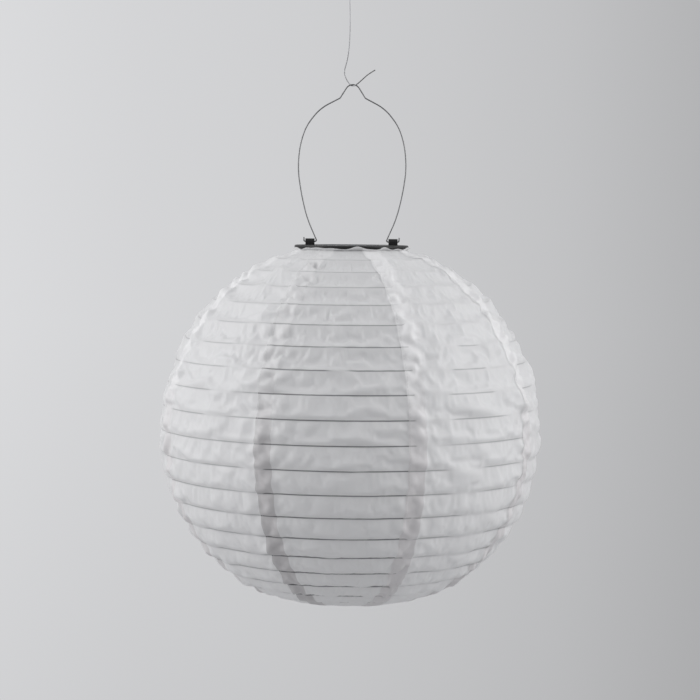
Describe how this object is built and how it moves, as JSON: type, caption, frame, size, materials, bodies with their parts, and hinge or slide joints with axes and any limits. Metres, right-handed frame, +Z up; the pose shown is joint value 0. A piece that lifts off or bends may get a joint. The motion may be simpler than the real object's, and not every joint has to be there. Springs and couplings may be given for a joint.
{
  "type": "folding ball lantern",
  "caption": "White cloth ball lantern on wire hoops under a black lid with a solar panel, hung by a steel bail from a wire hook; the globe folds flat.",
  "frame": {"origin": "centre of the eye at the top of the hanging wire, where it is held", "axes": "+Z up along the globe's axis, +X to the right seen from the front, -Y towards the front; the bail lies in the XZ plane"},
  "size_m": [0.3, 0.3, 0.4927],
  "materials": {
    "hook_wire": "thin drawn steel wire, dull",
    "bail_wire": "drawn steel wire, satin",
    "hoop_wire": "thin dark spring-steel wire",
    "shade_cloth": "thin white woven nylon, translucent, creased",
    "lid_plastic": "black injection-moulded plastic, semi-gloss",
    "housing_plastic": "dark grey moulded plastic, fine texture",
    "clear_window": "clear epoxy over the cell",
    "solar_cell": "dark blue silicon with thin silver fingers",
    "foam": "closed-cell foam",
    "screw_steel": "zinc-plated",
    "battery_sleeve": "plain shrink sleeve",
    "nickel_contact": "nickel-plated spring steel",
    "circuit_board": "green solder mask",
    "black_epoxy": "moulded epoxy",
    "inductor_body": "lacquered choke",
    "lamp_lens": "clear epoxy lamp with a yellowish phosphor",
    "tinned_copper": "tinned",
    "switch_case": "black",
    "switch_knob": "off-white"
  },
  "bodies": {
    "suspension": {"hanging_wire": "hook_wire", "hanging_eye": "hook_wire"},
    "bail": {"bail": "bail_wire"},
    "lid": {"lid_plate": "lid_plastic", "solar_window": "clear_window", "solar_cell": "solar_cell", "cell_tape": "foam", "cell_leads": "tinned_copper", "housing_gasket": "foam", "lower_housing": "housing_plastic", "housing_screws": "screw_steel", "battery_cell": "battery_sleeve", "battery_contact_plus": "nickel_contact", "battery_contact_minus": "nickel_contact", "battery_spring": "nickel_contact", "circuit_board": "circuit_board", "board_screws": "screw_steel", "driver_chip": "black_epoxy", "inductor": "inductor_body", "lamp": "lamp_lens", "lamp_legs": "tinned_copper", "switch_body": "switch_case", "switch_leads": "tinned_copper", "top_ring": "hoop_wire", "shade_gore_1": "shade_cloth", "shade_gore_2": "shade_cloth", "shade_gore_3": "shade_cloth", "shade_gore_4": "shade_cloth", "shade_gore_5": "shade_cloth", "shade_gore_6": "shade_cloth", "shade_gore_7": "shade_cloth", "shade_gore_8": "shade_cloth"},
    "switch_slider": {"switch_slider": "switch_knob"},
    "battery_cover": {"battery_cover": "housing_plastic", "battery_cover_screw": "screw_steel"},
    "bottom_ring": {"bottom_ring": "hoop_wire"},
    "hoop_01": {"hoop_01": "hoop_wire"},
    "hoop_02": {"hoop_02": "hoop_wire"},
    "hoop_03": {"hoop_03": "hoop_wire"},
    "hoop_04": {"hoop_04": "hoop_wire"},
    "hoop_05": {"hoop_05": "hoop_wire"},
    "hoop_06": {"hoop_06": "hoop_wire"},
    "hoop_07": {"hoop_07": "hoop_wire"},
    "hoop_08": {"hoop_08": "hoop_wire"},
    "hoop_09": {"hoop_09": "hoop_wire"},
    "hoop_10": {"hoop_10": "hoop_wire"},
    "hoop_11": {"hoop_11": "hoop_wire"},
    "hoop_12": {"hoop_12": "hoop_wire"},
    "hoop_13": {"hoop_13": "hoop_wire"},
    "hoop_14": {"hoop_14": "hoop_wire"},
    "hoop_15": {"hoop_15": "hoop_wire"},
    "hoop_16": {"hoop_16": "hoop_wire"},
    "hoop_17": {"hoop_17": "hoop_wire"},
    "hoop_18": {"hoop_18": "hoop_wire"},
    "hoop_19": {"hoop_19": "hoop_wire"}
  },
  "joints": [
    {"name": "bail_sway", "type": "hinge", "parent": "suspension", "child": "bail", "pos_m": [0, 0, -0.08662], "axis": [0, 1, 0], "range_deg": [-25, 25]},
    {"name": "lid_swing", "type": "hinge", "parent": "bail", "child": "lid", "pos_m": [0, 0, -0.20483], "axis": [1, 0, 0], "range_deg": [-90, 90]},
    {"name": "shade_fold", "type": "slide", "parent": "lid", "child": "bottom_ring", "axis": [0, 0, 1], "range_m": [0, 0.245], "deforming": ["shade_gore_1", "shade_gore_2", "shade_gore_3", "shade_gore_4", "shade_gore_5", "shade_gore_6", "shade_gore_7", "shade_gore_8"]},
    {"name": "switch_slide", "type": "slide", "parent": "lid", "child": "switch_slider", "axis": [0, 1, 0], "range_m": [0, 0.002]},
    {"name": "cover_release", "type": "slide", "parent": "lid", "child": "battery_cover", "axis": [0, 0, -1], "range_m": [0, 0.03]},
    {"name": "hoop_01_lift", "type": "slide", "parent": "lid", "child": "hoop_01", "axis": [0, 0, 1], "range_m": [0, 0.00661]},
    {"name": "hoop_02_lift", "type": "slide", "parent": "lid", "child": "hoop_02", "axis": [0, 0, 1], "range_m": [0, 0.0146]},
    {"name": "hoop_03_lift", "type": "slide", "parent": "lid", "child": "hoop_03", "axis": [0, 0, 1], "range_m": [0, 0.02435]},
    {"name": "hoop_04_lift", "type": "slide", "parent": "lid", "child": "hoop_04", "axis": [0, 0, 1], "range_m": [0, 0.03571]},
    {"name": "hoop_05_lift", "type": "slide", "parent": "lid", "child": "hoop_05", "axis": [0, 0, 1], "range_m": [0, 0.04849]},
    {"name": "hoop_06_lift", "type": "slide", "parent": "lid", "child": "hoop_06", "axis": [0, 0, 1], "range_m": [0, 0.0625]},
    {"name": "hoop_07_lift", "type": "slide", "parent": "lid", "child": "hoop_07", "axis": [0, 0, 1], "range_m": [0, 0.07751]},
    {"name": "hoop_08_lift", "type": "slide", "parent": "lid", "child": "hoop_08", "axis": [0, 0, 1], "range_m": [0, 0.09329]},
    {"name": "hoop_09_lift", "type": "slide", "parent": "lid", "child": "hoop_09", "axis": [0, 0, 1], "range_m": [0, 0.10958]},
    {"name": "hoop_10_lift", "type": "slide", "parent": "lid", "child": "hoop_10", "axis": [0, 0, 1], "range_m": [0, 0.12614]},
    {"name": "hoop_11_lift", "type": "slide", "parent": "lid", "child": "hoop_11", "axis": [0, 0, 1], "range_m": [0, 0.14269]},
    {"name": "hoop_12_lift", "type": "slide", "parent": "lid", "child": "hoop_12", "axis": [0, 0, 1], "range_m": [0, 0.15893]},
    {"name": "hoop_13_lift", "type": "slide", "parent": "lid", "child": "hoop_13", "axis": [0, 0, 1], "range_m": [0, 0.17455]},
    {"name": "hoop_14_lift", "type": "slide", "parent": "lid", "child": "hoop_14", "axis": [0, 0, 1], "range_m": [0, 0.18927]},
    {"name": "hoop_15_lift", "type": "slide", "parent": "lid", "child": "hoop_15", "axis": [0, 0, 1], "range_m": [0, 0.20282]},
    {"name": "hoop_16_lift", "type": "slide", "parent": "lid", "child": "hoop_16", "axis": [0, 0, 1], "range_m": [0, 0.21495]},
    {"name": "hoop_17_lift", "type": "slide", "parent": "lid", "child": "hoop_17", "axis": [0, 0, 1], "range_m": [0, 0.22544]},
    {"name": "hoop_18_lift", "type": "slide", "parent": "lid", "child": "hoop_18", "axis": [0, 0, 1], "range_m": [0, 0.23411]},
    {"name": "hoop_19_lift", "type": "slide", "parent": "lid", "child": "hoop_19", "axis": [0, 0, 1], "range_m": [0, 0.24083]}
  ],
  "couplings": [
    {"joint": "hoop_01_lift", "follows": "shade_fold", "ratio": 0.024927},
    {"joint": "hoop_02_lift", "follows": "shade_fold", "ratio": 0.057549},
    {"joint": "hoop_03_lift", "follows": "shade_fold", "ratio": 0.097351},
    {"joint": "hoop_04_lift", "follows": "shade_fold", "ratio": 0.1437},
    {"joint": "hoop_05_lift", "follows": "shade_fold", "ratio": 0.19588},
    {"joint": "hoop_06_lift", "follows": "shade_fold", "ratio": 0.25305},
    {"joint": "hoop_07_lift", "follows": "shade_fold", "ratio": 0.31432},
    {"joint": "hoop_08_lift", "follows": "shade_fold", "ratio": 0.37872},
    {"joint": "hoop_09_lift", "follows": "shade_fold", "ratio": 0.44524},
    {"joint": "hoop_10_lift", "follows": "shade_fold", "ratio": 0.51282},
    {"joint": "hoop_11_lift", "follows": "shade_fold", "ratio": 0.58037},
    {"joint": "hoop_12_lift", "follows": "shade_fold", "ratio": 0.64665},
    {"joint": "hoop_13_lift", "follows": "shade_fold", "ratio": 0.71042},
    {"joint": "hoop_14_lift", "follows": "shade_fold", "ratio": 0.77051},
    {"joint": "hoop_15_lift", "follows": "shade_fold", "ratio": 0.8258},
    {"joint": "hoop_16_lift", "follows": "shade_fold", "ratio": 0.87529},
    {"joint": "hoop_17_lift", "follows": "shade_fold", "ratio": 0.91811},
    {"joint": "hoop_18_lift", "follows": "shade_fold", "ratio": 0.95352},
    {"joint": "hoop_19_lift", "follows": "shade_fold", "ratio": 0.98095}
  ]
}
